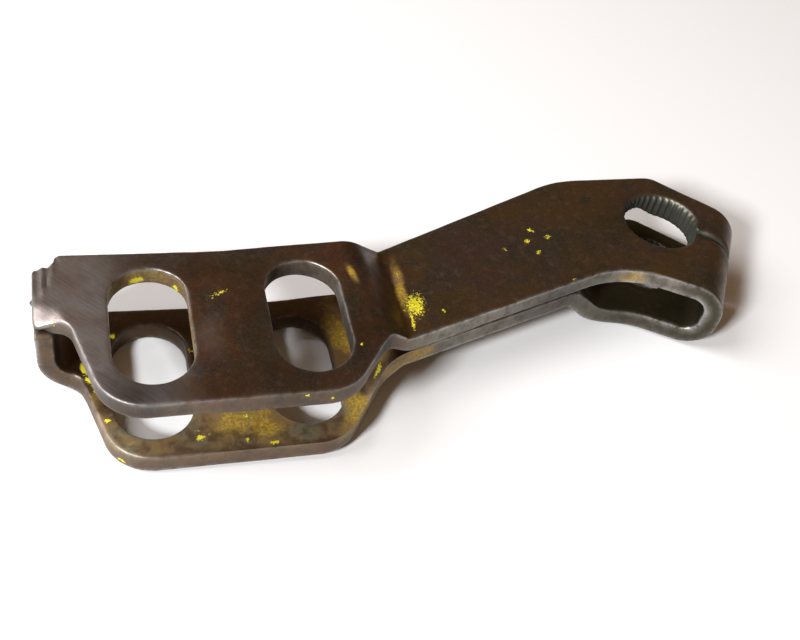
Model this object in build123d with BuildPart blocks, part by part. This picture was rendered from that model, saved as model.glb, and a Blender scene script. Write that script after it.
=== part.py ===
# Drum brake lever.
# One strip of steel plate is folded over on itself. The fold is a hollow clamp
# loop with a bore for the brake cam shaft and a slit that a pinch bolt closes.
# The two layers lie together along the arm, part at the neck and run on as two
# parallel slotted plates, and a weld closes them at the free end.
# Millimetres. The origin is on the cam shaft's axis, at the loop's lower face.
# +Z runs along the cam shaft, and the slotted plates lie along X.
import os
from math import cos, radians, sin, tan

from build123d import *

# Steel plate
sheet = 3.5
press_radius = 2.0

# Clamp loop at the cam shaft
cam_bore = 13.8
clamp_turn = -30.0
clamp_near_wall = 8.55
clamp_far_wall = 4.0
clamp_far_taper = 13.0
crown_y = 12.5
crown_radius = 4.0
tunnel_height = 7.6
fold_inner_radius = 2.8
bore_to_fold = 12.0
slit_width = 1.6

# Arm between the loop and the slotted plates
arm_near_offset = 6.95
arm_near_angle = 17.6
arm_far_offset = 18.7
arm_far_angle = 23.4
elbow_radius = 18.0
step_angle = 20.0
step_distance = 18.0
step_run = 7.6

# Slotted cable plates
slot_width = 12.2
slot_length = 23.5
slot_pitch = 24.5
inner_slot_x = -74.0
plate_mid_y = -22.9
side_border = 3.85
end_border = 7.7
neck_border = 4.5
neck_run = 5.75
upper_rise = 5.25
lower_drop = 4.65
near_corner_radius = 8.0
neck_shoulder_x = -69.4
neck_shoulder_angle = 53.7
neck_shoulder_radius = 8.0
neck_throat_radius = 4.0
neck_far_radius = 6.0

# Closed end
far_corner_radius = 1.6
end_taper_angle = 15.5
upper_corner_inset = 6.5
lower_corner_inset = 7.5
tongue_width = 11.0
tongue_far_border = 2.6
tongue_reach = 3.4
tongue_root_radius = 3.0
plate_notch_radius = 0.8
tongue_bend_radius = 3.5
tongue_tip_radius = 1.6
weld_height = 1.4
weld_crown = 0.5
weld_inset = 0.8

# Levels of the layers
loop_height = tunnel_height + 2 * sheet
seam_z = loop_height - sheet
upper_plate_z = seam_z + upper_rise
lower_plate_z = seam_z - lower_drop - sheet
lower_plate_mid_z = lower_plate_z + sheet / 2

# Places along X
outer_slot_x = inner_slot_x - slot_pitch
plate_end_x = outer_slot_x - slot_width / 2 - end_border
tongue_end_x = plate_end_x - tongue_reach
tongue_bend_x = tongue_end_x + sheet + tongue_bend_radius
neck_crest_x = inner_slot_x + slot_width / 2 + neck_border
neck_foot_x = neck_crest_x + neck_run

# Places across the plates
plate_width = slot_length + 2 * side_border
near_edge_y = plate_mid_y - plate_width / 2
far_edge_y = plate_mid_y + plate_width / 2
tongue_far_y = far_edge_y - tongue_far_border
tongue_near_y = tongue_far_y - tongue_width

# Reaches of the clamp loop from the bore's axis
near_reach = cam_bore / 2 + clamp_near_wall
far_reach = cam_bore / 2 + clamp_far_wall
fold_reach = bore_to_fold + sheet
fold_start = bore_to_fold - fold_inner_radius

# Longest tool reach, past every face of the strip
past_all = 200.0


def beside(angle, reach):
    """The point at a distance from the bore's axis, to the left of a direction."""
    return -reach * sin(radians(angle)), reach * cos(radians(angle))


def meet(point_a, angle_a, point_b, angle_b):
    """The corner where two straight edges of the outline would cross."""
    ax, ay = point_a
    bx, by = point_b
    cross = sin(radians(angle_b - angle_a))
    along = ((bx - ax) * sin(radians(angle_b)) - (by - ay) * cos(radians(angle_b))) / cross
    return ax + along * cos(radians(angle_a)), ay + along * sin(radians(angle_a))


# Straight edges of the outline, each as a point and a direction in degrees
near_edge = ((neck_shoulder_x, near_edge_y), 0.0)
far_edge = ((neck_shoulder_x, far_edge_y), 0.0)
crown_edge = ((0.0, crown_y), 0.0)
tongue_edge = ((tongue_end_x, tongue_near_y), 0.0)
neck_shoulder = ((neck_shoulder_x, near_edge_y), neck_shoulder_angle)
arm_near = (beside(arm_near_angle, -arm_near_offset), arm_near_angle)
arm_far = (beside(arm_far_angle, arm_far_offset), arm_far_angle)
loop_near = (beside(clamp_turn, -near_reach), clamp_turn)
loop_far = (
    beside(clamp_turn - clamp_far_taper, far_reach),
    clamp_turn - clamp_far_taper,
)
fold_face = (beside(clamp_turn - 90.0, fold_reach), clamp_turn + 90.0)


def layer_corners(corner_inset):
    """Corners of a layer's outline, anticlockwise from the tongue, each with its radius."""
    end_taper = ((plate_end_x + corner_inset, near_edge_y), end_taper_angle - 90.0)
    return [
        ((tongue_end_x, tongue_far_y), 0.0),
        ((tongue_end_x, tongue_near_y), 0.0),
        (meet(*tongue_edge, *end_taper), tongue_root_radius),
        (meet(*end_taper, *near_edge), near_corner_radius),
        ((neck_shoulder_x, near_edge_y), neck_shoulder_radius),
        (meet(*neck_shoulder, *arm_near), neck_throat_radius),
        (meet(*arm_near, *loop_near), elbow_radius),
        (meet(*loop_near, *fold_face), 0.0),
        (meet(*fold_face, *loop_far), 0.0),
        (meet(*loop_far, *crown_edge), crown_radius),
        (meet(*crown_edge, *arm_far), crown_radius),
        (meet(*arm_far, *far_edge), neck_far_radius),
        ((plate_end_x, far_edge_y), far_corner_radius),
        ((plate_end_x, tongue_far_y), plate_notch_radius),
    ]


def layer_outline(corner_inset):
    """Outline of one layer, seen along the cam shaft."""
    corners = layer_corners(corner_inset)
    with BuildSketch() as outline:
        with BuildLine():
            FilletPolyline(
                *[corner for corner, radius in corners],
                radius=[radius for corner, radius in corners],
                close=True,
            )
        make_face()
    return outline.sketch


upper_outline = layer_outline(upper_corner_inset)
lower_outline = layer_outline(lower_corner_inset)

# Planes where one formed stretch of the strip ends and the next begins
neck_plate_plane = Plane((neck_crest_x - sheet, 0, 0), z_dir=(1, 0, 0))
neck_arm_plane = Plane((neck_foot_x + sheet, 0, 0), z_dir=(1, 0, 0))
tongue_plane = Plane((tongue_bend_x, 0, 0), z_dir=(1, 0, 0))
arm_direction = Vector(1, 0, 0).rotate(Axis.Z, step_angle)
clamp_direction = Vector(1, 0, 0).rotate(Axis.Z, clamp_turn)
step_arm_plane = Plane(arm_direction * -(step_distance + step_run + sheet), z_dir=arm_direction)
step_jaw_plane = Plane(arm_direction * -(step_distance - sheet), z_dir=arm_direction)
fold_plane = Plane(clamp_direction * fold_start, z_dir=clamp_direction)
slit_plane = Plane((0, 0, 0), x_dir=clamp_direction, z_dir=clamp_direction.cross(Vector(0, 0, 1)))
step_plane = Plane((0, 0, 0), x_dir=arm_direction, z_dir=arm_direction.cross(Vector(0, 0, 1)))


def layer(outline, level):
    """Fill an outline with one thickness of plate, from a level upwards."""
    extrude(outline.moved(Location((0, 0, level))), amount=sheet)


def trim_to(outline):
    """Keep what lies inside an outline, at any height."""
    extrude(outline, amount=past_all, both=True, mode=Mode.INTERSECT)


def ribbon(plane, points, inner_radius):
    """A bent band of plate, from its middle line and the bends' inside radius."""
    with BuildSketch(plane) as section:
        with BuildLine():
            FilletPolyline(*points, radius=inner_radius + sheet / 2)
        trace(line_width=sheet)
    extrude(section.sketch, amount=past_all, both=True)


def cut_slots():
    """Two round-ended slots, side by side across the plate."""
    with BuildSketch() as slots:
        with Locations((inner_slot_x, plate_mid_y), (outer_slot_x, plate_mid_y)):
            SlotOverall(slot_length, slot_width, rotation=90)
    extrude(slots.sketch, amount=past_all, mode=Mode.SUBTRACT)


def cut_bore_and_slit():
    """The cam shaft's bore, and the slit from it out through the fold."""
    with BuildSketch() as bore_and_slit:
        Circle(cam_bore / 2)
        with BuildLine():
            Line((0, 0), clamp_direction * (fold_reach + sheet))
        trace(line_width=slit_width)
    extrude(bore_and_slit.sketch, amount=past_all, both=True, mode=Mode.SUBTRACT)


# Upper cable plate, with the flat tongue that the closing weld is made to
with BuildPart() as upper_cable_plate:
    layer(upper_outline, upper_plate_z)
    split(bisect_by=neck_plate_plane, keep=Keep.BOTTOM)
    cut_slots()
    tongue_tip = upper_cable_plate.edges().filter_by(Axis.Y).group_by(Axis.X)[0]
    fillet(tongue_tip.sort_by(Axis.Z)[-1], tongue_tip_radius)
upper_cable_plate.part.label = "upper_cable_plate"

# Lower cable plate, which ends where its tongue bends up
with BuildPart() as lower_cable_plate:
    layer(lower_outline, lower_plate_z)
    split(bisect_by=neck_plate_plane, keep=Keep.BOTTOM)
    split(bisect_by=tongue_plane, keep=Keep.TOP)
    cut_slots()
lower_cable_plate.part.label = "lower_cable_plate"

# Lower plate's tongue, bent up to close the free end
tongue_mid_x = tongue_end_x + sheet / 2
tongue_top_z = upper_plate_z - weld_height
with BuildPart() as end_tongue:
    ribbon(
        Plane.XZ,
        [(0, lower_plate_mid_z), (tongue_mid_x, lower_plate_mid_z), (tongue_mid_x, tongue_top_z)],
        tongue_bend_radius,
    )
    trim_to(lower_outline)
    split(bisect_by=tongue_plane, keep=Keep.BOTTOM)
end_tongue.part.label = "end_tongue"

# Weld between the two tongues
with BuildPart() as end_seam_weld:
    with BuildSketch(Plane.XZ.offset(-tongue_near_y - weld_inset)):
        with BuildLine():
            Polyline(
                (tongue_end_x, upper_plate_z),
                (tongue_end_x + sheet, upper_plate_z),
                (tongue_end_x + sheet, tongue_top_z),
                (tongue_end_x, tongue_top_z),
            )
            ThreePointArc(
                (tongue_end_x, tongue_top_z),
                (tongue_end_x - weld_crown, tongue_top_z + weld_height / 2),
                (tongue_end_x, upper_plate_z),
            )
        make_face()
    extrude(amount=-(tongue_width - 2 * weld_inset))
end_seam_weld.part.label = "end_seam_weld"



def neck_bend(plate_mid, arm_mid):
    """A jog of plate between a cable plate's level and the arm's."""
    ribbon(
        Plane.XZ,
        [
            (inner_slot_x, plate_mid),
            (neck_crest_x, plate_mid),
            (neck_foot_x, arm_mid),
            (0, arm_mid),
        ],
        press_radius,
    )
    trim_to(upper_outline)
    split(bisect_by=neck_plate_plane, keep=Keep.TOP)
    split(bisect_by=neck_arm_plane, keep=Keep.BOTTOM)


# Neck, where the two layers part to the levels of the cable plates
with BuildPart() as upper_neck_bend:
    neck_bend(upper_plate_z + sheet / 2, seam_z + sheet / 2)
upper_neck_bend.part.label = "upper_neck_bend"

with BuildPart() as lower_neck_bend:
    neck_bend(lower_plate_mid_z, seam_z - sheet / 2)
lower_neck_bend.part.label = "lower_neck_bend"

# Arm, two layers face to face
with BuildPart() as upper_arm_layer:
    layer(upper_outline, seam_z)
    split(bisect_by=neck_arm_plane, keep=Keep.TOP)
    split(bisect_by=step_arm_plane, keep=Keep.BOTTOM)
upper_arm_layer.part.label = "upper_arm_layer"

with BuildPart() as lower_arm_layer:
    layer(upper_outline, seam_z - sheet)
    split(bisect_by=neck_arm_plane, keep=Keep.TOP)
    split(bisect_by=step_arm_plane, keep=Keep.BOTTOM)
lower_arm_layer.part.label = "lower_arm_layer"

# Upper jaw of the clamp, flat with the arm
with BuildPart() as upper_clamp_jaw:
    layer(upper_outline, seam_z)
    split(bisect_by=step_arm_plane, keep=Keep.TOP)
    split(bisect_by=fold_plane, keep=Keep.BOTTOM)
    cut_bore_and_slit()
upper_clamp_jaw.part.label = "upper_clamp_jaw"

# Step that takes the lower layer down to open the loop
with BuildPart() as lower_jaw_step:
    ribbon(
        step_plane,
        [
            (neck_foot_x, seam_z - sheet / 2),
            (-step_distance - step_run, seam_z - sheet / 2),
            (-step_distance, sheet / 2),
            (0, sheet / 2),
        ],
        press_radius,
    )
    trim_to(upper_outline)
    split(bisect_by=step_arm_plane, keep=Keep.TOP)
    split(bisect_by=step_jaw_plane, keep=Keep.BOTTOM)
lower_jaw_step.part.label = "lower_jaw_step"

# Lower jaw of the clamp
with BuildPart() as lower_clamp_jaw:
    layer(upper_outline, 0)
    split(bisect_by=step_jaw_plane, keep=Keep.TOP)
    split(bisect_by=fold_plane, keep=Keep.BOTTOM)
    cut_bore_and_slit()
lower_clamp_jaw.part.label = "lower_clamp_jaw"

# Fold that joins the jaws, cut in two by the slit
fold_mid = fold_reach - sheet / 2
with BuildPart() as whole_fold:
    ribbon(
        slit_plane,
        [
            (0, seam_z + sheet / 2),
            (fold_mid, seam_z + sheet / 2),
            (fold_mid, sheet / 2),
            (0, sheet / 2),
        ],
        fold_inner_radius,
    )
    trim_to(upper_outline)
    split(bisect_by=fold_plane, keep=Keep.TOP)
    cut_bore_and_slit()

with BuildPart() as near_fold_half:
    add(whole_fold.solids().sort_by(Axis.Y)[0])
near_fold_half.part.label = "near_fold_half"

with BuildPart() as far_fold_half:
    add(whole_fold.solids().sort_by(Axis.Y)[-1])
far_fold_half.part.label = "far_fold_half"

sub_parts = [
    upper_cable_plate,
    lower_cable_plate,
    end_tongue,
    end_seam_weld,
    upper_neck_bend,
    lower_neck_bend,
    upper_arm_layer,
    lower_arm_layer,
    upper_clamp_jaw,
    lower_clamp_jaw,
    lower_jaw_step,
    near_fold_half,
    far_fold_half,
]

os.makedirs("parts", exist_ok=True)
for sub_part in sub_parts:
    export_step(sub_part.part, f"parts/{sub_part.part.label}.step")
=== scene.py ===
import bpy
import numpy as np
from mathutils import Matrix, Vector
from mathutils.geometry import delaunay_2d_cdt


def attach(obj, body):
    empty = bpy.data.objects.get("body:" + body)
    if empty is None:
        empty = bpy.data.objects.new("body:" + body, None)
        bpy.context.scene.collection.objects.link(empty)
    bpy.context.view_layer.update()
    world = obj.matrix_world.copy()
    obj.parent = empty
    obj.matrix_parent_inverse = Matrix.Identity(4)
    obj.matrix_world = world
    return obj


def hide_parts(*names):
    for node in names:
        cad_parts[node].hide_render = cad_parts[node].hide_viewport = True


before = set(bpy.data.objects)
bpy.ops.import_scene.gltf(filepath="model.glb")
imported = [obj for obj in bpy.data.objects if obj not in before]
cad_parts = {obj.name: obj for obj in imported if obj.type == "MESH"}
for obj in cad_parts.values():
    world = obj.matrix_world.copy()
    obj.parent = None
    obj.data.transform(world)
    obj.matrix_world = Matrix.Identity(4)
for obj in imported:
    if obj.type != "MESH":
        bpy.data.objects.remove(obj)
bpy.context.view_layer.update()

# The strip. The real piece is 3.5 mm steel plate, blanked in a press. It is folded over a bar to a hollow
# loop, jogged in a die at the neck and under the loop, and serrated and slit at the loop. It is bare, oiled
# and stained by use, and is held shut by the closing bead alone.

# Lengths in this section are millimetres. A point of the flat blank is a complex number: its real part runs
# along the strip, from the upper plate over the fold to the lower plate, and its imaginary part runs across
# it, from the near edge to the far one.
sheet = 3.5
clamp_direction = np.exp(1j * np.radians(-30.0))
arm_direction = np.exp(1j * np.radians(20.0))

# Levels of the layers' middle surfaces
upper_plate_level = 18.1
upper_arm_level = 12.85
lower_arm_level = 9.35
lower_plate_level = 4.7
lower_jaw_level = 1.75

# Fold at the loop: a quarter bend, a short flat and a quarter bend
fold_start = 9.2
fold_radius = 4.55
fold_flat = 2.0
fold_quarter = fold_radius * np.pi / 2
fold_length = 2 * fold_quarter + fold_flat
fold_end = fold_start + fold_length

# End tongue of the lower plate, bent up to the closing weld
tongue_bend_x = -108.7
tongue_bend_radius = 5.25
tongue_quarter = tongue_bend_radius * np.pi / 2
tongue_wall = 6.0
tongue_thinning = 0.2

# Jogs: start and end of the slope on the middle surface
neck_crest_x = -63.4
neck_foot_x = -57.65
step_top = -25.6
step_foot = -18.0
jog_radius = 3.75
neck_foot_radius = 2.5
neck_under_foot_x = neck_foot_x + 1.8
step_foot_radius = 9.0

# The upper neck lies a little nearer the free end towards its far edge
neck_skew = 0.9
neck_skew_start_y = -20.0
neck_skew_run = 13.0


def flat_upper(plan):
    """The blank's point for a plan point of the upper layer: the plan turned until the fold runs across."""
    return plan / clamp_direction


def flat_lower(plan):
    """The blank's point for the lower layer: the plan turned in the same way, then unrolled past the
    fold."""
    return fold_start + fold_end - np.conj(plan / clamp_direction)


def jog_level(along, start, level, end, end_level, offset, foot_radius=jog_radius):
    """Height of a layer's face over a jog: two levels joined by a straight slope, with an arc at each end,
    the last one of the foot's radius. The face lies an offset above the middle surface, so one arc is
    tighter and the other wider."""
    slope = np.arctan2(end_level - level, end - start)
    bend = np.sign(slope)
    shift = offset * np.tan(slope / 2)
    first, last = start - shift, end - shift
    low, high = level + offset, end_level + offset
    near_radius = jog_radius - bend * offset
    far_radius = foot_radius + bend * offset
    near_reach = near_radius * np.tan(abs(slope) / 2)
    far_reach = far_radius * np.tan(abs(slope) / 2)
    into = np.clip(along - (first - near_reach), 0, near_radius * np.sin(abs(slope)))
    out = np.clip(last + far_reach - along, 0, far_radius * np.sin(abs(slope)))
    straight = low + (along - first) * np.tan(slope)
    near_arc = low + bend * (near_radius - np.sqrt(near_radius**2 - into**2))
    far_arc = high - bend * (far_radius - np.sqrt(far_radius**2 - out**2))
    face = np.where(along < first + near_reach * np.cos(slope), near_arc, straight)
    return np.where(along > last - far_reach * np.cos(slope), far_arc, face)


def formed(flat, depth):
    """Place of a point of the blank after pressing, as x, y and z. Depth counts from the strip's outside,
    0, to its inside. Along the layers the point keeps its plan and takes the height of the jogs' faces;
    over the fold and up the end tongue it goes round the bend's centre at the radius that its depth
    gives."""
    upper = flat.real < fold_start
    lower = flat.real > fold_end
    plan = np.where(upper, flat, np.conj(fold_start + fold_end - flat)) * clamp_direction
    x, y = plan.real, plan.imag
    half = sheet / 2
    neck_x = x + neck_skew * np.clip((y - neck_skew_start_y) / neck_skew_run, 0, 1) ** 2
    share = depth / sheet
    plate, arm = upper_plate_level, upper_arm_level
    over = jog_level(neck_x, neck_crest_x, plate, neck_foot_x, arm, half, neck_foot_radius)
    under = jog_level(neck_x, neck_crest_x, plate, neck_under_foot_x, arm, -half)
    z_upper = over + (under - over) * share
    a = (plan / arm_direction).real
    faces = []
    for offset in (-half, half):
        neck = jog_level(x, neck_crest_x, lower_plate_level, neck_foot_x, lower_arm_level, offset)
        step = jog_level(a, step_top, lower_arm_level, step_foot, lower_jaw_level, offset, step_foot_radius)
        faces.append(neck + step - lower_arm_level - offset)
    z_lower = faces[0] + (faces[1] - faces[0]) * share
    z = np.where(upper, z_upper, z_lower)

    run = np.clip(tongue_bend_x - x, 0, None)
    turn = np.minimum(run / tongue_bend_radius, np.pi / 2)
    radius = tongue_bend_radius + half - depth * (1 - tongue_thinning * turn / (np.pi / 2))
    rise = np.clip(run - tongue_quarter, 0, None)
    centre_z = lower_plate_level + tongue_bend_radius
    on_tongue = lower & (run > 0)
    x = np.where(on_tongue, tongue_bend_x - radius * np.sin(turn), x)
    z = np.where(on_tongue, centre_z - radius * np.cos(turn) + rise, z)

    run = np.clip(flat.real - fold_start, 0, fold_length)
    radius = fold_radius + half - depth
    turn = np.minimum(run / fold_radius, np.pi / 2)
    rest = np.clip(run - fold_quarter - fold_flat, 0, None) / fold_radius
    reach = fold_start + radius * np.where(rest > 0, np.cos(rest), np.sin(turn))
    fall = np.clip(run - fold_quarter, 0, fold_flat)
    z_fold = upper_arm_level - fold_radius - fall + radius * (np.cos(turn) - np.sin(rest))
    folded = ~upper & ~lower
    bent = (reach + 1j * flat.imag) * clamp_direction
    x = np.where(folded, bent.real, x)
    y = np.where(folded, bent.imag, y)
    z = np.where(folded, z_fold, z)
    return np.stack([x, y, z], 1)


def meet(point, direction, other_point, other_direction):
    """The point where two straight edges cross."""
    gap = other_point - point
    along = (gap * np.conj(other_direction)).imag / (direction * np.conj(other_direction)).imag
    return point + along * direction


def rounded(corners, radii):
    """A closed edge line: each corner gives way to the arc that touches both of its sides."""
    corners = np.asarray(corners, complex)
    runs = []
    for before, corner, after, radius in zip(np.roll(corners, 1), corners, np.roll(corners, -1), radii):
        if radius == 0:
            runs.append([corner])
            continue
        side = (before - corner) / abs(before - corner)
        other = (after - corner) / abs(after - corner)
        half_angle = abs(np.angle(other / side)) / 2
        centre = corner + (side + other) / abs(side + other) * radius / np.sin(half_angle)
        first = corner + side * radius / np.tan(half_angle) - centre
        sweep = np.angle((corner + other * radius / np.tan(half_angle) - centre) / first)
        runs.append(centre + first * np.exp(1j * sweep * np.linspace(0, 1, 33)))
    return np.concatenate(runs)


def edge_at(angle, reach):
    """A straight edge that passes the bore's axis at a distance: a point on it and its direction."""
    direction = np.exp(1j * np.radians(angle))
    return 1j * direction * reach, direction


# Edges of the blank, in plan
near_edge_y = -38.5
far_edge_y = -7.1
plate_end_x = -112.3
tongue_end_x = -115.7
tongue_far_y = -9.4
tongue_near_y = -20.9
arm_near = edge_at(17.6, -6.95)
arm_far = edge_at(23.4, 18.7)
loop_near = edge_at(-30.0, -15.45)
loop_far = edge_at(-43.0, 10.9)
near_edge = (1j * near_edge_y, 1.0)
neck_far = (-65.0 - 6.75j, np.exp(1j * np.radians(2.5)))
plate_far_middle = -88.0 - 7.85j
shoulder = (-69.4 + 1j * near_edge_y, np.exp(1j * np.radians(53.7)))
crown = (12.5j, 1.0)
end_taper_direction = np.exp(1j * np.radians(15.5 - 90.0))


def layer_corners(taper_x):
    """One layer's corners and radii: the near side up to the loop, and the far side back from the crown."""
    taper = (taper_x + 1j * near_edge_y, end_taper_direction)
    near_side = [
        (meet(1j * tongue_near_y, 1.0, *taper), 3.0),
        (meet(*taper, *near_edge), 8.0),
        (shoulder[0], 8.0),
        (meet(*shoulder, *arm_near), 4.0),
        (meet(*arm_near, *loop_near), 18.0),
    ]
    far_side = [
        (meet(*loop_far, *crown), 4.0),
        (meet(*crown, *arm_far), 23.0),
        (meet(*arm_far, *neck_far), 6.0),
        (plate_far_middle, 90.0),
        (plate_end_x + 1j * far_edge_y, 0.9),
        (plate_end_x + 1j * tongue_far_y, 1.3),
    ]
    return near_side, far_side


def bent_back(x):
    """A plan place on the lower plate's bent end, unrolled: the arc's angle whose sine the plan shows."""
    turn = np.arcsin(np.clip((tongue_bend_x - x) / tongue_bend_radius, 0, 1))
    return x if x > tongue_bend_x else tongue_bend_x - tongue_bend_radius * turn


upper_near, upper_far = layer_corners(plate_end_x + 6.5)
lower_near, lower_far = layer_corners(plate_end_x + 7.5)
lower_tip_x = tongue_bend_x - tongue_quarter - tongue_wall
fold_run = np.linspace(0, fold_length, 25)
fold_turn = np.minimum(fold_run, fold_length - fold_run) / fold_radius
fold_reach = fold_start + fold_radius * np.sin(np.minimum(fold_turn, np.pi / 2))
fold_far = (loop_far[0] / clamp_direction, loop_far[1] / clamp_direction)
fold_far_v = fold_far[0].imag + (fold_reach - fold_far[0].real) * fold_far[1].imag / fold_far[1].real
fold_far_edge = (fold_start + fold_run + 1j * fold_far_v)[::-1]

outline_corners = [
    (flat_upper(tongue_end_x + 1j * tongue_far_y), 1.0),
    (flat_upper(tongue_end_x + 1j * tongue_near_y), 1.2),
]
outline_corners += [(flat_upper(c), r) for c, r in upper_near]
outline_corners += [(flat_lower(c), r) for c, r in reversed(lower_near)]
outline_corners += [
    (flat_lower(lower_tip_x + 1j * tongue_near_y), 1.0),
    (flat_lower(lower_tip_x + 1j * tongue_far_y), 1.0),
]
for corner, radius in reversed(lower_far):
    outline_corners.append((flat_lower(bent_back(corner.real) + 1j * corner.imag), radius))
outline_corners += [(point, 0) for point in fold_far_edge]
outline_corners += [(flat_upper(c), r) for c, r in upper_far]
outline = rounded(*zip(*outline_corners))

# Slots: round-ended, 12.2 wide and 23.5 long, cut across both plates
slot_width = 12.2
slot_length = 23.5
slot_mid_y = -22.9
slot_xs = (-98.5, -74.0)


def slot_edge(x):
    """A slot's edge, clockwise, with the steel on its left: two half circles joined by straight sides."""
    half_straight = (slot_length - slot_width) / 2
    arc = slot_width / 2 * np.exp(1j * np.linspace(0, -np.pi, 60))
    return x + 1j * slot_mid_y + np.concatenate([arc - 1j * half_straight, -arc + 1j * half_straight])


edge_paths = [outline]
for slot_x in slot_xs:
    edge_paths.append(flat_upper(slot_edge(slot_x)))
    edge_paths.append(flat_lower(slot_edge(slot_x))[::-1])

# Serrated bore and the saw cut from it through the fold
bore_radius = 6.9
slit_width = 1.1
tooth_count = 36
tooth_depth = 0.42
slit_corner = 0.35


def bore_and_slit_edge():
    """The edge of both bores and of the slit that joins them, clockwise in the blank: each bore is a circle
    with a gap where the slit leaves it, and the slit's two sides run straight over the fold."""
    gap = np.arcsin((slit_width / 2 + slit_corner) / bore_radius)
    angles = np.arange(tooth_count * 6) * (2 * np.pi / (tooth_count * 6)) + gap
    angles = angles[angles < 2 * np.pi - gap]
    circle = bore_radius * np.exp(1j * angles)
    side_run = np.arange(bore_radius + slit_corner, fold_start + fold_end - bore_radius - slit_corner, 0.3)
    side = side_run + 0.5j * slit_width
    return np.concatenate([circle[::-1], side, fold_start + fold_end - np.conj(circle), np.conj(side[::-1])])


edge_paths.append(bore_and_slit_edge())


# Lines across the blank where one formed stretch of the strip ends and the next begins, each as a point and
# a direction towards the far side, in the order in which the strip passes them
def across(unroll, direction, distance):
    """A cut line square to a plan direction, at a distance from the bore's axis, on the flat blank."""
    point = unroll(direction * distance)
    way = unroll(direction * (distance + 1j)) - point
    return point, way * np.sign(way.imag)


plate_cut_x = neck_crest_x - 2.3
neck_cut_x = neck_foot_x + sheet
arm_cut = step_top - sheet
jaw_cut = step_foot + sheet
cut_lines = [
    across(flat_upper, 1.0, plate_cut_x),
    across(flat_upper, 1.0, neck_cut_x),
    across(flat_upper, arm_direction, arm_cut),
    across(flat_upper, clamp_direction, fold_start),
    across(flat_lower, clamp_direction, fold_start),
    across(flat_lower, arm_direction, jaw_cut),
    across(flat_lower, arm_direction, arm_cut),
    across(flat_lower, 1.0, neck_cut_x),
    across(flat_lower, 1.0, plate_cut_x),
    across(flat_lower, 1.0, tongue_bend_x),
]
stretches = [
    "upper_cable_plate", "upper_neck_bend", "upper_arm_layer", "upper_clamp_jaw",
    "near_fold_half", "far_fold_half",
    "lower_clamp_jaw", "lower_jaw_step", "lower_arm_layer", "lower_neck_bend", "lower_cable_plate",
    "end_tongue",
]
first_fold_stretch = 4


def beyond(flat, line):
    """How far blank points lie past a cut line, square to it."""
    point, way = line
    return -((flat - point) * np.conj(way)).imag


def stretch_of(flat, near_lines, far_lines):
    """Which of the strip's stretches a blank point belongs to: the count of cut lines passed, with the
    fold's two halves told apart by the slit between them."""
    far = flat.imag > 0
    passed = sum(
        np.where(far, beyond(flat, far_line) > 0, beyond(flat, near_line) > 0).astype(int)
        for near_line, far_line in zip(near_lines, far_lines)
    )
    return passed + (passed > first_fold_stretch) + ((passed == first_fold_stretch) & (flat.imag > 0))


station_room = 0.12


def stations(path, step):
    """Points at an even step along a closed path, or its own points where there is no step, with one
    exactly on each cut line that the path crosses and none too near it."""
    ahead = np.append(path, path[0])
    length = np.concatenate([[0], np.cumsum(abs(np.diff(ahead)))])
    count = int(length[-1] / step) if step else 0
    places = np.arange(count) * (length[-1] / count) if step else length[:-1]
    marks = np.full(len(places), -1)
    for number, line in enumerate(cut_lines):
        value = beyond(ahead, line)
        hits = np.nonzero(value[:-1] * value[1:] < 0)[0]
        for hit in length[hits] + np.diff(length)[hits] * value[hits] / (value[hits] - value[hits + 1]):
            keep = abs(places - hit) > station_room
            places, marks = np.append(places[keep], hit), np.append(marks[keep], number)
    order = np.argsort(places)
    places, marks = places[order], marks[order]
    points = np.interp(places, length, ahead.real) + 1j * np.interp(places, length, ahead.imag)
    return points, marks


# Rounding of an edge, from the outer face over the cut wall to the inner face: distance in from the edge,
# and depth under the outer face. The outline and the slots are blanked, the slit is sawn, and the bore has
# a lead-in to its teeth.
blanked_in = np.array([1.2, 0.6, 0.3, 0.12, 0.03, 0.0, 0.0, 0.01, 0.02, 0.03, 0.08, 0.2, 0.45, 1.0])
blanked_depth = np.array([0.0, 0.0, 0.015, 0.07, 0.18, 0.36, 0.9, 1.5, 2.15, 2.75, 3.18, 3.38, 3.47, 3.5])
sawn_in = np.array([1.0, 0.75, 0.5, 0.3, 0.12, 0.03, 0.0, 0.0, 0.0, 0.0, 0.03, 0.12, 0.35, 0.8])
sawn_depth = np.array([0.0, 0.02, 0.1, 0.25, 0.5, 0.8, 1.2, 1.7, 2.2, 2.8, 3.2, 3.38, 3.47, 3.5])
bore_in = np.array([1.7, 1.2, 0.95, 0.7, 0.5, 0.22, 0.0, 0.0, 0.0, 0.0, 0.15, 0.42, 0.8, 1.3])
bore_depth = np.array([0.0, 0.0, 0.04, 0.16, 0.34, 0.62, 0.9, 1.5, 2.1, 2.7, 3.0, 3.24, 3.44, 3.5])
tooth_share = np.array([0, 0, 0, 0, 0.25, 0.75, 1, 1, 1, 1, 0.8, 0.3, 0, 0])

# The upper bore's wall is drawn down to a lip, which is deepest towards one side
lip_depth = 1.9
lip_side = np.radians(55.0)
lip_share = np.array([0, 0, 0, 0, 0, 0, 0.05, 0.3, 0.6, 0.9, 1.0, 1.0, 0.45, 0])


def hump(value, middle, width):
    """A smooth hump: one at its middle, falling off as a bell whose width is given."""
    return np.exp(-((value - middle) / width) ** 2)


def ramp(value, start, stop):
    """A smooth rise from nought at the start to one at the stop."""
    share = np.clip((value - start) / (stop - start), 0, 1)
    return share * share * (3 - 2 * share)


ring_count = len(blanked_in)
edge_step = 0.34
unturned_room = 9.0
on_bore_within = 0.15

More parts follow.
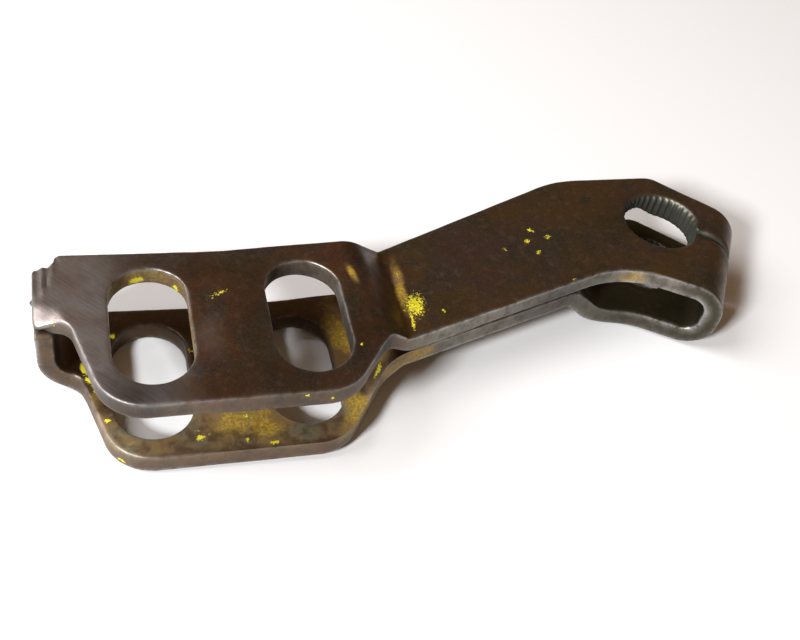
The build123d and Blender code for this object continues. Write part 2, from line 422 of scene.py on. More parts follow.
# Rings of points round every edge. Where an edge turns sharply inwards, the rings are drawn together so
# that they never cross.
base_points, base_inward, ring_in, ring_depth, base_marks, loop_sizes = [], [], [], [], [], []
for number, path in enumerate(edge_paths):
    bore = number == len(edge_paths) - 1
    points, line_marks = stations(path, None if bore else edge_step)
    count = len(points)
    tangent = np.roll(points, -1) - np.roll(points, 1)
    inward = 1j * tangent / abs(tangent)
    spacing = abs(np.roll(points, -1) - np.roll(points, 1)) / 2
    turning = np.angle(np.roll(tangent, -1) / np.roll(tangent, 1)) / 2
    turn_share = 0.4 if bore else 0.7
    room = np.where(turning > 1e-4, turn_share * spacing / np.maximum(turning, 1e-4), unturned_room)
    place = np.cumsum(spacing)
    apart = abs(place[:, None] - place[None, :])
    apart = np.minimum(apart, place[-1] - apart)
    room = (room[None, :] + 0.5 * apart).min(1)
    if bore:
        middle = (fold_start + fold_end) / 2
        folded_back = np.where(points.real > middle, 2 * middle - np.conj(points), points)
        off_bore = abs(abs(folded_back) - bore_radius)
        round_bore = np.clip(1 - off_bore / on_bore_within, 0, 1)
        tooth = abs(((np.angle(folded_back) * tooth_count / (2 * np.pi)) % 1) - 0.5) * 2
        into = np.outer(bore_in, round_bore) + np.outer(sawn_in, 1 - round_bore)
        depth = np.outer(bore_depth, round_bore) + np.outer(sawn_depth, 1 - round_bore)
        into = into * np.clip(room / into[0], 0, 1)
        into = into + tooth_depth * np.outer(tooth_share, tooth * round_bore) * np.clip(room, 0, 1)
        into[-1] = into[0]
        lip = lip_depth * ramp(np.cos(np.angle(points) - lip_side), 0.2, 0.8)
        depth = depth + np.outer(lip_share, lip * round_bore * (points.real < middle))
    else:
        # The rounding wanders a little, and is pressed nearly flat where the arm's two layers meet
        wander = 1 + 0.1 * np.sin(1.9 * place) * np.sin(0.53 * place + 1.0)
        into = np.outer(blanked_in, np.clip(room / blanked_in[0], 0, 1))
        into[1:-1] *= wander
        along_layer = np.where(points.real < 12.0, points.real, fold_start + fold_end - points.real)
        into[8:13] *= 1 - 0.92 * ramp(along_layer, -62.0, -56.0) * ramp(-along_layer, 24.0, 30.0)
        depth = np.outer(blanked_depth, np.ones(count))
    base_points.append(points)
    base_inward.append(inward)
    ring_in.append(into)
    ring_depth.append(depth)
    base_marks.append(line_marks)
    loop_sizes.append(count)

base_points = np.concatenate(base_points)
base_inward = np.concatenate(base_inward)
ring_in = np.concatenate(ring_in, 1)
ring_depth = np.concatenate(ring_depth, 1)
base_marks = np.concatenate(base_marks)
station_count = len(base_points)
loop_starts = np.concatenate([[0], np.cumsum(loop_sizes)[:-1]])
next_station = np.arange(station_count) + 1
next_station[loop_starts + np.array(loop_sizes) - 1] = loop_starts
ring_flat = base_points + base_inward * ring_in
inner_ring = ring_flat[0]


points_at_once = 2000


def clear_of_edges(points, gap):
    """True for blank points that lie on the steel, by the count of inner ring segments to their left, and
    further than a gap from every point of the inner ring."""
    ahead = inner_ring[next_station]
    clear = np.zeros(len(points), bool)
    for start in range(0, len(points), points_at_once):
        part = points[start:start + points_at_once, None]
        spans = (inner_ring.imag > part.imag) != (ahead.imag > part.imag)
        rise = np.where(ahead.imag == inner_ring.imag, 1.0, ahead.imag - inner_ring.imag)
        at = inner_ring.real + (part.imag - inner_ring.imag) * (ahead.real - inner_ring.real) / rise
        on_steel = (spans & (at < part.real)).sum(1) % 2 == 1
        clear[start:start + points_at_once] = on_steel & (abs(part - inner_ring).min(1) > gap)
    return clear


# Points inside the faces: a lattice for each stretch, along its own bends and closer where it bends
def lattice(direction, along, across):
    """Plan points in rows that follow a direction: every pair of one distance along and one across."""
    return ((along[:, None] + 1j * across[None, :]) * direction).ravel()


def spread(*bounds):
    """Distances from each bound to the next, at the step given between them."""
    runs = [np.arange(bounds[i], bounds[i + 2], bounds[i + 1]) for i in range(0, len(bounds) - 2, 2)]
    return np.concatenate(runs)


plate_grid = lattice(1.0, spread(-123.0, 0.4, -109.0, 0.62, -68.0, 0.3, -53.0), spread(-40.0, 0.6, 0.0))
arm_grid = lattice(arm_direction, spread(-75.0, 0.66, -31.0, 0.3, -13.0, 0.6, 22.0), spread(-30.0, 0.6, 30.0))
jaw_grid = lattice(clamp_direction, spread(-32.0, 0.6, 9.2), spread(-25.0, 0.6, 30.0))
fold_grid = lattice(1.0, spread(fold_start + 0.2, 0.36, fold_end), spread(-16.0, 0.6, 12.0))
grid_of_stretch = {
    0: flat_upper(plate_grid), 1: flat_upper(plate_grid), 2: flat_upper(arm_grid), 3: flat_upper(jaw_grid),
    4: fold_grid, 5: fold_grid, 6: flat_lower(jaw_grid), 7: flat_lower(arm_grid), 8: flat_lower(arm_grid),
    9: flat_lower(plate_grid), 10: flat_lower(plate_grid), 11: flat_lower(plate_grid),
}
inside_points = np.concatenate([
    grid[stretch_of(grid, cut_lines, cut_lines) == own] for own, grid in grid_of_stretch.items()
])
net_gap = 0.24
row_step = 0.6
inside_points = inside_points[clear_of_edges(inside_points, net_gap)]

# Rows of points along the cut lines, from edge to edge. The faces part exactly there.
chains, near_chain_lines, far_chain_lines = [], [], []
row_start = station_count
for number, line in enumerate(cut_lines):
    hits = np.nonzero(base_marks == number)[0]
    hits = hits[np.argsort(base_points[hits].imag)]
    ends = [(inner_ring[first], inner_ring[last]) for first, last in zip(hits[::2], hits[1::2])]
    for chain_lines, (start, stop) in ((near_chain_lines, ends[0]), (far_chain_lines, ends[-1])):
        chain_lines.append((start, (stop - start) / abs(stop - start)))
    for first, last in zip(hits[::2], hits[1::2]):
        start, stop = inner_ring[first], inner_ring[last]
        count = max(2, int(abs(stop - start) / row_step))
        row = start + (stop - start) * np.arange(1, count) / count
        row_indices = np.concatenate([[first], np.arange(row_start, row_start + len(row)), [last]])
        row_start += len(row)
        chains.append((number, row, row_indices))
        off = beyond(inside_points, (start, (stop - start) / abs(stop - start)))
        beside = ((inside_points - start) * np.conj(stop - start)).real / abs(stop - start)
        close = (abs(off) < net_gap) & (beside > -0.5) & (beside < abs(stop - start) + 0.5)
        inside_points = inside_points[~close]

net_flat = np.concatenate([inner_ring, *[row for number, row, indices in chains], inside_points])
net_edges = np.stack([np.arange(station_count), next_station], 1).tolist()
for number, row, indices in chains:
    net_edges += np.stack([indices[:-1], indices[1:]], 1).tolist()
net = delaunay_2d_cdt(np.stack([net_flat.real, net_flat.imag], 1).tolist(), net_edges, [], 0, 1e-7)
least_area = 1e-5
net_faces = np.array(net[2])
face_corners = net_flat[net_faces]
face_sides = face_corners[:, 1:] - face_corners[:, :1]
face_area = (np.conj(face_sides[:, 0]) * face_sides[:, 1]).imag / 2
net_faces = net_faces[clear_of_edges(face_corners.mean(1), 0.0) & (face_area > least_area)]

# All the strip's points: the rings round every edge, then the faces' inner points outside and inside
extra = net_flat[station_count:]
flat = np.concatenate([ring_flat.ravel(), extra, extra])
depth = np.concatenate([ring_depth.ravel(), np.zeros(len(extra)), np.full(len(extra), sheet)])
outward = np.clip(1 - depth / sheet, 0, 1)

# Rolled plate is never quite flat: its outer face swells and sinks by a few hundredths
swell = 0.035 * np.sin(0.31 * flat.real + 0.17 * flat.imag)
swell *= np.sin(0.12 * flat.real - 0.37 * flat.imag + 1.3)
swell += 0.02 * np.sin(0.9 * flat.real + 2.0) * np.sin(0.8 * flat.imag + 0.4)
points = formed(flat, depth - swell * outward)

# The upper tongue was hammered down over the lower one: it rolls off a little past a slanting crease, is
# fluted by the hammer's edge, and is beaten down at its near corner over a hollow
upper_tongue_x = -109.5
crease_x, crease_y, crease_slant = -111.6, -9.2, 0.25
crease_radius = 8.0
flute_depth, flute_width, flute_start_x = 0.2, 1.5, -115.95
hollow_depth = 1.1
x, y, z = points.T.copy()
on_upper_tongue = (flat.real < 0) & (x < upper_tongue_x)
past_crease = np.clip(crease_x + crease_slant * (y - crease_y) - x, 0, 4.2)
flute = flute_depth * np.sin((x - flute_start_x) * 2 * np.pi / flute_width)
flute = flute * ramp(past_crease, 0.1, 0.9) * ramp(y, -17.5, -14.0)
beaten = np.clip(0.9 * (-17.7 - y) + 0.4 * (-113.2 - x), 0, None)
beaten = 0.125 * beaten**2 * ramp(-x, 110.9, 113.0)
z = z - np.where(on_upper_tongue, (past_crease**2 / (2 * crease_radius) - flute + beaten) * outward, 0)
hollow = hollow_depth * hump(x, -114.4, 1.0) * ramp(depth, 1.0, 1.9) * hump(y, tongue_near_y, 1.0)
y = y + np.where(on_upper_tongue, hollow, 0)
points = np.stack([x, y, z], 1)

# Faces: the net outside, the net turned over inside, and the rings' bands
ring_total = ring_count * station_count
outside_of = np.concatenate([np.arange(station_count), ring_total + np.arange(len(extra))])
inside_of = np.concatenate([
    (ring_count - 1) * station_count + np.arange(station_count),
    ring_total + len(extra) + np.arange(len(extra)),
])
ring = np.arange(ring_count - 1)[:, None] * station_count
here = np.arange(station_count)[None, :]
ahead = next_station[None, :]
corner_a, corner_b = ring + here, ring + station_count + here
corner_c, corner_d = ring + station_count + ahead, ring + ahead
band = np.concatenate([
    np.stack([corner_a, corner_b, corner_c], 2).reshape(-1, 3),
    np.stack([corner_a, corner_c, corner_d], 2).reshape(-1, 3),
])
band_middle = np.tile(np.tile((base_points + base_points[next_station]) / 2, ring_count - 1), 2)
triangles = np.concatenate([outside_of[net_faces], inside_of[net_faces[:, ::-1]], band])
net_middle = net_flat[net_faces].mean(1)
stretch_of_net = stretch_of(net_middle, near_chain_lines, far_chain_lines)
stretch_of_band = stretch_of(band_middle, cut_lines, cut_lines)
stretch_of_triangle = np.concatenate([stretch_of_net, stretch_of_net, stretch_of_band])


def new_mesh(name, places, faces):
    """A mesh in metres from points in millimetres and triangles."""
    mesh = bpy.data.meshes.new(name)
    mesh.vertices.add(len(places))
    mesh.vertices.foreach_set("co", (places * 0.001).astype(np.float32).ravel())
    mesh.loops.add(faces.size)
    mesh.loops.foreach_set("vertex_index", faces.astype(np.int32).ravel())
    mesh.polygons.add(len(faces))
    mesh.polygons.foreach_set("loop_start", np.arange(0, faces.size, 3, dtype=np.int32))
    mesh.update(calc_edges=True)
    return mesh


# The whole strip's normals, which its stretches keep, so that no seam shows between them
crease_angle = np.radians(42)
whole = new_mesh("whole_strip", points, triangles)
whole.shade_smooth()
whole.set_sharp_from_angle(angle=crease_angle)
corner_normals = np.zeros(triangles.size * 3, np.float32)
whole.corner_normals.foreach_get("vector", corner_normals)
corner_normals = corner_normals.reshape(-1, 3, 3)
bpy.data.meshes.remove(whole)

# Marks of making and use, and of painted shade and sheen, one value at each point, which the steel's material
# reads. ring_rim and ring_cut give how bright an edge is rubbed, and how far it is cut wall, from the outer
# face round to the inner one.
ring_rim = np.array([0.0, 0.02, 0.15, 0.75, 1.0, 0.55, 0.08, 0.02, 0.0, 0.05, 0.3, 0.35, 0.1, 0.0])
ring_cut = np.array([0.0, 0.0, 0.0, 0.1, 0.5, 0.9, 1.0, 1.0, 1.0, 1.0, 0.8, 0.35, 0.05, 0.0])
ring_rim_inside = np.zeros(ring_count)
ring_rim_inside[9:13] = (0.3, 1.0, 0.9, 0.4)
no_ring = np.zeros(2 * len(extra))


def on_edges(from_path, to_path):
    """One at every point of the rings round the edge paths that are named by number, and nought
    elsewhere."""
    ends = np.append(loop_starts, station_count)
    named = np.zeros(station_count)
    named[ends[from_path]:ends[to_path]] = 1.0
    return np.concatenate([np.tile(named, ring_count), no_ring])


last_path = len(edge_paths) - 1
slot_wall = on_edges(1, last_path)
in_bore = on_edges(last_path, last_path + 1)
no_bore = 1 - in_bore
loop_share = ramp(base_points.real, -16.0, 0.0) * ramp(-base_points.real, -fold_end - 14.0, -fold_end)
loop_share = loop_share * (base_points.imag < 0)
rim = np.repeat(ring_rim, station_count) * (1 - 0.8 * in_bore[:ring_total])
rim += np.outer(ring_rim_inside, loop_share).ravel() * no_bore[:ring_total]
rim = np.concatenate([np.minimum(rim, 1), no_ring])
cut = np.concatenate([np.repeat(ring_cut, station_count), no_ring])
x, y, z = points.T
upper_side = flat.real < (fold_start + fold_end) / 2
top_face = upper_side * outward
lower_top = (~upper_side) * (1 - outward)


def blots(spots, along, over, sides):
    """Likelihood of a mark: for each spot, a bell with its own length, width and turn, the strongest one
    counting. Each spot is its place, half length, half width, turn in degrees and strength."""
    likely = np.zeros(len(along))
    for place_a, place_b, length, width, turn, strength in spots:
        offset = ((along - place_a) + 1j * (over - place_b)) * np.exp(-1j * np.radians(turn))
        bell = np.exp(-(offset.real / length) ** 2 - (offset.imag / width) ** 2)
        likely = np.maximum(likely, strength * bell)
    return likely * sides


# Flecks of yellow paint: drops, smears and runs, on the top, on the lower plate and on the cut walls
paint_on_top = [
    (-54.3, -17.9, 4.6, 2.9, 80, 0.80), (-55.5, -21.6, 2.6, 0.45, 82, 0.95),
    (-55.6, -11.0, 3.4, 0.7, 100, 0.55), (-87.4, -17.4, 2.8, 0.9, 25, 0.72),
    (-104.2, -24.9, 0.8, 0.7, 0, 0.95), (-93.2, -28.8, 0.9, 1.0, 0, 0.8),
    (-69.5, -20.0, 1.0, 0.6, 10, 0.75), (-65.0, -16.3, 2.2, 0.8, 110, 0.45),
    (-66.8, -30.0, 0.8, 0.5, 0, 0.85), (-27.6, -1.1, 1.0, 0.9, 0, 0.9), (-29.2, -3.9, 1.0, 0.8, 30, 0.95),
    (-24.8, -3.1, 1.0, 0.9, 0, 0.9), (-27.9, -6.9, 1.1, 0.8, 60, 0.85), (-34.1, -5.7, 0.8, 0.7, 0, 0.8),
    (-49.4, -19.7, 0.7, 0.8, 0, 0.85), (-23.3, -14.1, 0.6, 0.5, 0, 0.85),
    (-112.4, -20.4, 0.3, 1.1, -20, 0.95),
]
paint_on_lower = [
    (-108.9, -19.9, 0.7, 1.9, 15, 1.0), (-108.2, -22.2, 0.6, 1.6, 20, 1.05),
    (-107.2, -24.6, 0.5, 0.9, 30, 0.95), (-105.8, -30.6, 0.8, 0.6, 0, 1.0),
    (-104.1, -13.3, 0.9, 0.9, 0, 1.0), (-91.7, -17.4, 0.6, 1.3, 0, 0.75),
    (-92.0, -35.4, 1.1, 0.7, 10, 1.05), (-92.4, -33.9, 0.8, 0.4, 0, 0.8), (-90.1, -34.7, 0.5, 0.4, 0, 0.8),
    (-84.5, -32.2, 0.45, 1.2, 0, 1.05), (-84.8, -36.6, 0.6, 0.5, 0, 1.1), (-80.9, -37.7, 1.3, 0.5, 8, 1.1),
    (-58.9, -23.0, 1.6, 0.7, 35, 0.75), (-61.8, -26.6, 0.5, 2.6, -28, 0.95),
    (-97.0, -25.2, 0.8, 0.5, 0, 0.7), (-70.5, -31.0, 2.4, 2.0, 40, 0.5), (-68.5, -24.0, 1.6, 4.0, 0, 0.5),
]
# On the cut walls: place, half width, half height and strength
paint_on_walls = [
    (-99.9, -11.3, 17.4, 1.7, 0.8, 1.15), (-93.9, -13.4, 17.3, 0.8, 0.9, 1.0),
    (-76.8, -38.5, 18.9, 0.5, 0.5, 1.0), (-72.8, -38.5, 17.8, 0.6, 0.5, 0.95),
    (-104.2, -36.4, 4.0, 1.2, 0.45, 1.05), (-58.8, -20.9, 7.5, 2.2, 0.9, 0.75),
]
paint = blots(paint_on_top, x, y, top_face > 0.6) + blots(paint_on_lower, x, y, lower_top > 0.4)
for place_x, place_y, place_z, across_size, up_size, strength in paint_on_walls:
    beside = np.hypot(x - place_x, y - place_y) / across_size
    paint = np.maximum(paint, strength * np.exp(-beside**2 - ((z - place_z) / up_size) ** 2))

# Gold-brown rust film
rust_on_lower = [
    (-87.0, -32.5, 5.5, 4.5, 0, 0.85), (-81.5, -33.5, 4.0, 4.5, 0, 1.0), (-66.0, -31.2, 2.6, 4.2, 35, 1.05),
    (-67.0, -34.6, 2.4, 5.0, -25, 1.0), (-57.0, -22.5, 7.0, 3.5, 20, 0.9),
    (-87.0, -22.0, 5.0, 12.0, 0, 0.55), (-107.0, -24.0, 2.0, 7.0, 0, 0.6), (-2.0, -1.0, 8.0, 6.0, 0, 0.6),
    (-66.5, -20.0, 3.2, 12.0, 0, 1.15), (-103.5, -35.0, 3.5, 3.0, 40, 0.55),
]
rust_on_top = [
    (-65.2, -14.8, 0.9, 3.0, 12, 0.85), (-56.0, -13.5, 1.3, 7.5, -4, 0.95),
    (-80.0, -28.0, 4.0, 5.0, 0, 0.25), (-28.0, -4.0, 6.0, 5.0, 20, 0.25), (-55.0, -19.0, 2.2, 4.0, -8, 0.6),
]
rust = blots(rust_on_lower, x, y, np.clip(lower_top * 1.4, 0, 1)) + blots(rust_on_top, x, y, top_face > 0.6)
on_lower = ramp(flat.real, fold_start + 6.0, fold_end)
on_fold = ramp(flat.real, fold_start - 5.0, fold_start + 3.0)
on_fold *= ramp(-flat.real, -fold_end - 5.0, -fold_end + 2.0)
upper_wall_rust = 0.85 * hump(x, -11.0, 3.5) * (y < 0) + 0.65 * slot_wall * ramp(-x, 86.0, 90.0)
rust += cut * (upper_wall_rust * (1 - on_lower) + 1.1 * hump(x, -57.0, 5.5) * on_lower) * no_bore

# Painted shade, with some grime: on the faces that look at each other between the layers, on the lower
# layer's walls at the neck, along the arm and in the slots, under the upper layer, and round the fold's outer
# wall. The lower plate's open strip, which the light reaches, is spared.
outer_half = ramp(-depth, -2.6, -1.4)
lower_wall_shade = 0.8 * ramp(x, -66.0, -56.0) * (1 - 0.65 * ramp(x, -54.0, -47.0))
wall_shade_and_grime = on_lower * np.maximum(lower_wall_shade, 0.9 * slot_wall)
wall_shade_and_grime = np.maximum(wall_shade_and_grime, on_fold * (0.25 + 0.6 * outer_half)) + 0.3 * on_lower * (x < -66.0)
uncovered = 0.65 * on_lower * ramp(-y, 27.0, 31.0)
shade_and_grime = np.clip(np.maximum((1 - outward) * (1 - cut) * (1 - uncovered), cut * wall_shade_and_grime * no_bore), 0, 1)

# Olive film along the arm, dust on the lower plate's open strip, and metal rubbed bright at the free end,
# with a painted sheen that lightens the plate towards that end and a painted highlight on the bar beside the
# first slot
olive = np.maximum(ramp(x, -64.0, -50.0), 0.5 * slot_wall * (1 - on_lower) * (x > -86.0))
dust = lower_top * ramp(-y, 26.5, 30.5) * (1 - 0.6 * ramp(-y, 37.3, 38.3))
calm_rim = ramp(x, -100.0, -88.0) * ramp(-x, 66.0, 70.0) * (1 - slot_wall) * 0.6 + 0.5 * slot_wall * on_lower
rim = rim * (1 - calm_rim)
rubbed_and_sheen = np.maximum(ramp(-x, 86.0, 105.0) * ramp(-y, 4.0, 30.0), 0.9 * ramp(-x, 96.0, 113.0))
rubbed_and_sheen = np.maximum(rubbed_and_sheen, 0.5 * hump(x, -89.5, 3.0) * hump(y, -26.0, 5.5)) * top_face

# Dark oil in blots on the top. Painted shade: blots over the neck's valley, and over the crest's far end and
# the tongue's near corner, where they damp highlights; the fold's outer wall, which faces away from the
# lamps;
# and the lower layer's bore under the upper jaw. The slit's walls, and the edge's wall at the arm's step, at
# the upper neck and along the lower jaw, are also darker.
oil_and_shade_on_top = [
    (-102.0, -36.5, 6.5, 5.5, 0, 0.65), (-81.0, -22.0, 7.5, 15.0, 0, 0.38),
    (-67.5, -28.0, 5.0, 9.0, 0, 0.48), (-80.0, -34.5, 14.0, 6.0, 0, 0.45),
    (-114.8, -19.5, 2.6, 2.8, 0, 0.2), (-92.0, -12.0, 8.0, 5.0, 0, 0.25), (-4.0, 1.0, 9.0, 6.0, 0, 0.25),
    (-62.6, -9.5, 3.0, 4.0, 0, 0.6), (-60.0, -20.0, 2.2, 12.0, -3, 0.35),
]
outline_wall = cut * no_bore * (1 - slot_wall)
beyond_teeth = np.hypot(x, y) > bore_radius + 2.2
oil_and_shade = np.maximum.reduce([
    blots(oil_and_shade_on_top, x, y, top_face > 0.0),
    0.5 * outline_wall * hump(x, -26.0, 9.0),
    0.75 * outline_wall * hump(x, -62.5, 3.2) * (1 - on_lower),
    0.5 * outline_wall * hump(x, -4.0, 16.0) * on_lower,
    0.6 * outline_wall * on_fold * outer_half,
    0.7 * in_bore * cut * beyond_teeth,
    0.85 * in_bore * on_lower,
])
marks = {
    "oil_and_shade": oil_and_shade, "dust": dust, "rim": rim, "shade_and_grime": shade_and_grime, "cut": cut, "paint": paint, "rust": rust,
    "olive": olive, "rubbed_and_sheen": rubbed_and_sheen, "serrated": in_bore * np.clip(cut + rim, 0, 1),
}


def new_material(name):
    """A material, its node tree and its shader."""
    made = bpy.data.materials.new(name)
    made.use_nodes = True
    return made, made.node_tree, made.node_tree.nodes["Principled BSDF"]


def add_node(tree, kind, inputs=None, **settings):
    """A shader node with its settings, whose inputs are given as values or as the sockets that feed them."""
    made = tree.nodes.new(kind)
    for name, value in settings.items():
        setattr(made, name, value)
    for name, value in (inputs or {}).items():
        if isinstance(value, bpy.types.NodeSocket):
            tree.links.new(value, made.inputs[name])
        else:
            made.inputs[name].default_value = value
    return made


def mixed(tree, amount, colour_a, colour_b):
    """Colour a with an amount of colour b laid over it."""
    made = add_node(tree, "ShaderNodeMix", {0: amount, 6: colour_a, 7: colour_b}, data_type="RGBA")
    return made.outputs[2]


def mixed_value(tree, amount, value_a, value_b):
    """Value a moved by an amount towards value b."""
    made = add_node(tree, "ShaderNodeMix", {0: amount, 2: value_a, 3: value_b}, data_type="FLOAT")
    return made.outputs[0]


def times(tree, value_a, value_b):
    """The product of two values."""
    return add_node(tree, "ShaderNodeMath", {0: value_a, 1: value_b}, operation="MULTIPLY").outputs[0]


def plus(tree, value_a, value_b):
    """The sum of two values."""
    return add_node(tree, "ShaderNodeMath", {0: value_a, 1: value_b}, operation="ADD").outputs[0]


def stained(tree, colour, amount, share, stain):
    """A colour with a stain laid over it, of whose amount only a share shows."""
    return mixed(tree, times(tree, amount, share), colour, stain)


def stepped(tree, value, low, high):
    """A value spread from nought at the low bound to one at the high bound."""
    inputs = {"Value": value, "From Min": low, "From Max": high}
    return add_node(tree, "ShaderNodeMapRange", inputs, interpolation_type="SMOOTHSTEP").outputs[0]


def noise(tree, place, scale, detail=3.0, roughness=0.55, distortion=0.0):
    """Cloudy noise over a place, from nought to one."""
    inputs = {
        "Vector": place, "Scale": scale, "Detail": detail, "Roughness": roughness, "Distortion": distortion,
    }
    return add_node(tree, "ShaderNodeTexNoise", inputs).outputs[0]


def mark(tree, name):
    """One of the marks at the strip's points."""
    return add_node(tree, "ShaderNodeAttribute", attribute_name=name).outputs["Fac"]


def stretched(tree, place, turn, scale):
    """The place seen from axes turned about Z and scaled to a length along each, so a pattern runs one
    way."""
    inputs = {"Vector": place, "Rotation": (0, 0, np.radians(turn)), "Scale": scale}
    return add_node(tree, "ShaderNodeMapping", inputs, vector_type="TEXTURE").outputs[0]


# Fine grain of bare metal, which the steel and the weld share
fine_grain = bpy.data.node_groups.new("fine_grain", "ShaderNodeTree")
fine_grain.interface.new_socket("Place", in_out="INPUT", socket_type="NodeSocketVector")
fine_grain.interface.new_socket("Specks", in_out="OUTPUT", socket_type="NodeSocketFloat")
fine_grain.interface.new_socket("Grain", in_out="OUTPUT", socket_type="NodeSocketFloat")
grain_place = fine_grain.nodes.new("NodeGroupInput").outputs["Place"]
grain_result = fine_grain.nodes.new("NodeGroupOutput")
fine_grain.links.new(noise(fine_grain, grain_place, 700.0, 4.0, 0.6, 0.3), grain_result.inputs["Specks"])
fine_grain.links.new(noise(fine_grain, grain_place, 3200.0, 3.0), grain_result.inputs["Grain"])

steel, tree, shader = new_material("oiled_steel")
place = add_node(tree, "ShaderNodeTexCoord").outputs["Object"]
fine = add_node(tree, "ShaderNodeGroup", {"Place": place}, node_tree=fine_grain)
specks, grain = fine.outputs["Specks"], fine.outputs["Grain"]
clouds = noise(tree, place, 62.0, 4.0)
blotches = noise(tree, place, 150.0, 5.0, 0.62, 0.8)
hues = noise(tree, place, 95.0, 4.0, 0.6, 0.5)
blotch = stepped(tree, blotches, 0.44, 0.66)
speck = stepped(tree, specks, 0.50, 0.74)
# Near-black, for oil stains and for painted shade
oil_and_shade_black = (0.018, 0.012, 0.010, 1)

# The oiled skin: clouds of two browns, olive along the arm, with coloured and dark blots and pale specks
cloudy = stepped(tree, clouds, 0.38, 0.62)
plate_brown = mixed(tree, cloudy, (0.145, 0.063, 0.026, 1), (0.112, 0.068, 0.046, 1))
arm_brown = mixed(tree, cloudy, (0.128, 0.078, 0.030, 1), (0.088, 0.064, 0.048, 1))
colour = mixed(tree, mark(tree, "olive"), plate_brown, arm_brown)
colour = stained(tree, colour, stepped(tree, hues, 0.50, 0.64), 0.5, (0.052, 0.060, 0.030, 1))
colour = stained(tree, colour, stepped(tree, hues, 0.48, 0.36), 0.45, (0.120, 0.058, 0.066, 1))
colour = stained(tree, colour, blotch, 0.75, (0.044, 0.037, 0.031, 1))
colour = stained(tree, colour, speck, 0.30, (0.26, 0.185, 0.115, 1))
colour = stained(tree, colour, stepped(tree, grain, 0.35, 0.75), 0.26, (0.26, 0.18, 0.105, 1))

# Metal rubbed bright, and painted sheen and highlight, in fine strokes that run one way
strokes = noise(tree, stretched(tree, place, -45.0, (0.006, 0.00014, 0.002)), 1.0, 3.0)
brushed = stepped(tree, strokes, 0.32, 0.70)
rubbed_and_sheen_amount = stepped(tree, plus(tree, mark(tree, "rubbed_and_sheen"), clouds), 0.55, 1.25)
rubbed_and_sheen_amount = times(tree, rubbed_and_sheen_amount, plus(tree, times(tree, brushed, 0.35), 0.45))
colour = mixed(tree, rubbed_and_sheen_amount, colour, (0.33, 0.305, 0.300, 1))
# Near-black where oil stains the steel, and painted shade in the same near-black
colour = mixed(tree, mark(tree, "oil_and_shade"), colour, oil_and_shade_black)

# Gold-brown rust film, broken up by its own noise
rust_noise = noise(tree, place, 420.0, 6.0, 0.65, 0.4)
rust_likely = plus(tree, times(tree, mark(tree, "rust"), 0.75), times(tree, rust_noise, 0.6))
rust_amount = stepped(tree, rust_likely, 0.52, 1.02)
rust_grain = stepped(tree, noise(tree, place, 2400.0, 5.0, 0.75), 0.34, 0.70)
rust_colour = mixed(tree, rust_grain, (0.22, 0.112, 0.008, 1), (0.54, 0.38, 0.045, 1))
rust_clouds = stepped(tree, noise(tree, place, 210.0, 5.0, 0.6), 0.45, 0.60)
rust_colour = mixed(tree, rust_clouds, rust_colour, (0.20, 0.115, 0.035, 1))
colour = stained(tree, colour, rust_amount, 0.85, rust_colour)

# Sheared walls: bare metal streaked through the plate's thickness, greyer along the arm, dull in patches
cut_noise = noise(tree, stretched(tree, place, 0.0, (0.0005, 0.0005, 0.003)), 1.0, 4.0, 0.6)
streaks = mixed_value(tree, stepped(tree, cut_noise, 0.25, 0.75), 0.6, 1.0)
cut_colour = mixed(tree, mark(tree, "olive"), (0.170, 0.125, 0.090, 1), (0.25, 0.245, 0.215, 1))
cut_patches = stepped(tree, noise(tree, place, 380.0, 5.0, 0.65), 0.44, 0.62)
cut_colour = stained(tree, cut_colour, cut_patches, 0.7, (0.080, 0.078, 0.070, 1))
# The walls take the same near-black: oil stains, and painted shade
cut_colour = mixed(tree, mark(tree, "oil_and_shade"), cut_colour, oil_and_shade_black)
colour = stained(tree, colour, times(tree, mark(tree, "cut"), streaks), 0.85, cut_colour)

# Painted shade with some grime, then dust over it, then the rust that shows through both
shade_and_grime_amount = times(tree, mark(tree, "shade_and_grime"), mixed_value(tree, speck, 0.88, 0.6))
shade_and_grime_colour = mixed(tree, mark(tree, "olive"), (0.072, 0.040, 0.017, 1), (0.050, 0.045, 0.022, 1))
colour = mixed(tree, shade_and_grime_amount, colour, shade_and_grime_colour)
dust_clouds = stepped(tree, noise(tree, place, 110.0, 4.0, 0.6), 0.42, 0.60)
dust_colour = mixed(tree, dust_clouds, (0.235, 0.160, 0.070, 1), (0.185, 0.172, 0.112, 1))
dust_share = mixed_value(tree, stepped(tree, rust_noise, 0.35, 0.60), 0.35, 0.85)
dust_amount = times(tree, mark(tree, "dust"), dust_share)
colour = mixed(tree, dust_amount, colour, dust_colour)
rust_share = mixed_value(tree, mark(tree, "cut"), 0.9, 0.7)
colour = stained(tree, colour, rust_amount, rust_share, rust_colour)

# Edges rubbed bright, and the bore's greenish teeth
rim_amount = times(tree, mark(tree, "rim"), stepped(tree, noise(tree, place, 600.0, 5.0, 0.65), 0.30, 0.62))
rim_amount = times(tree, rim_amount, mixed_value(tree, mark(tree, "oil_and_shade"), 1.0, 0.2))
colour = stained(tree, colour, rim_amount, 0.68, (0.50, 0.495, 0.49, 1))
colour = stained(tree, colour, mark(tree, "serrated"), 0.85, (0.085, 0.092, 0.072, 1))

# Yellow paint in flecks with broken edges
paint_noise = noise(tree, place, 2900.0, 5.0, 0.7, 0.4)
paint_likely = plus(tree, mark(tree, "paint"), times(tree, plus(tree, paint_noise, -0.5), 1.7))
paint_amount = stepped(tree, paint_likely, 0.62, 0.70)
paint_colour = mixed(tree, blotch, (0.72, 0.64, 0.02, 1), (0.52, 0.45, 0.015, 1))
colour = mixed(tree, paint_amount, colour, paint_colour)
tree.links.new(colour, shader.inputs["Base Color"])

